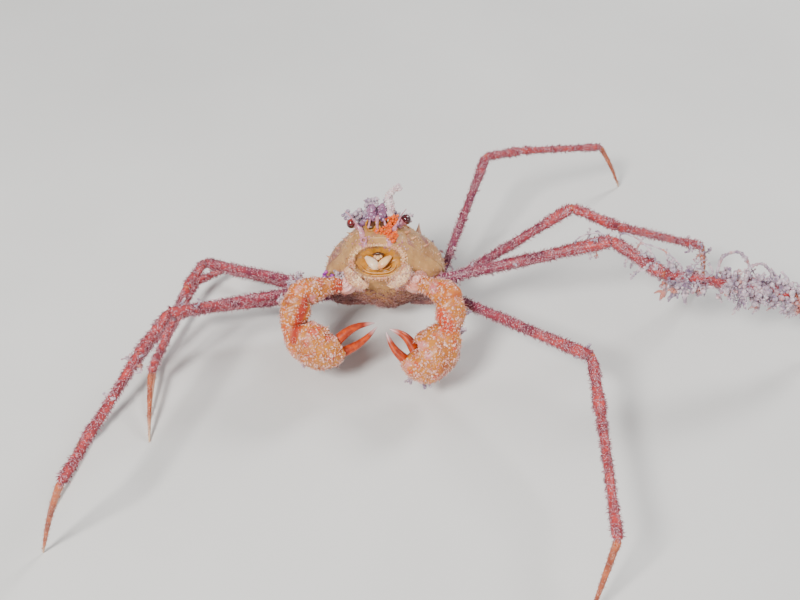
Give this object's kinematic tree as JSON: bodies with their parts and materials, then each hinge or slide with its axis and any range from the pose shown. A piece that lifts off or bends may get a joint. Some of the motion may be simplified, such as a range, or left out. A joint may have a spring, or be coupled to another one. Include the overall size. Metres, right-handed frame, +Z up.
{
  "type": "scorpion spider crab model",
  "caption": "Still life-size model of a scorpion spider crab, reared up on long thin jointed legs, claws folded in front of a spiny pear-shaped shell with growths on it.",
  "frame": {"origin": "centre of the model's bounding box on the floor that the feet stand on", "axes": "+X towards the crab's left, -Y the way it faces, +Z up"},
  "size_m": [0.1504, 0.109, 0.0305],
  "materials": {
    "shell": "painted to look like buff, finely granular shell with short bristles",
    "chest": "painted tan and ochre, satin",
    "leg": "painted dusty pink red with short curled bristles",
    "leg_tip": "painted orange buff, pale at the point",
    "claw": "painted yellow buff with pinkish white grains",
    "finger": "orange red, smooth, pale tips",
    "eye": "dark red, wet gloss"
  },
  "bodies": {
    "root": {"carapace": "shell", "thorax": "chest", "pleon": "chest", "left_eye": "eye", "left_antenna": "leg", "left_maxilliped": "chest", "left_claw_merus": "claw", "left_claw_carpus": "claw", "left_claw_palm": "claw", "left_claw_finger": "finger", "left_leg_2_merus": "leg", "left_leg_2_carpus": "leg", "left_leg_2_propodus": "leg", "left_leg_2_dactylus": "leg_tip", "left_leg_3_merus": "leg", "left_leg_3_carpus": "leg", "left_leg_3_propodus": "leg", "left_leg_3_dactylus": "leg_tip", "left_leg_4_merus": "leg", "left_leg_4_carpus": "leg", "left_leg_4_propodus": "leg", "left_leg_4_dactylus": "leg_tip", "left_leg_5_merus": "leg", "left_leg_5_carpus": "leg", "left_leg_5_propodus": "leg", "left_leg_5_dactylus": "leg_tip", "right_eye": "eye", "right_antenna": "leg", "right_maxilliped": "chest", "right_claw_merus": "claw", "right_claw_carpus": "claw", "right_claw_palm": "claw", "right_claw_finger": "finger", "right_leg_2_merus": "leg", "right_leg_2_carpus": "leg", "right_leg_2_propodus": "leg", "right_leg_2_dactylus": "leg_tip", "right_leg_3_merus": "leg", "right_leg_3_carpus": "leg", "right_leg_3_propodus": "leg", "right_leg_3_dactylus": "leg_tip", "right_leg_4_merus": "leg", "right_leg_4_carpus": "leg", "right_leg_4_propodus": "leg", "right_leg_4_dactylus": "leg_tip", "right_leg_5_merus": "leg", "right_leg_5_carpus": "leg", "right_leg_5_propodus": "leg", "right_leg_5_dactylus": "leg_tip"}
  },
  "joints": []
}
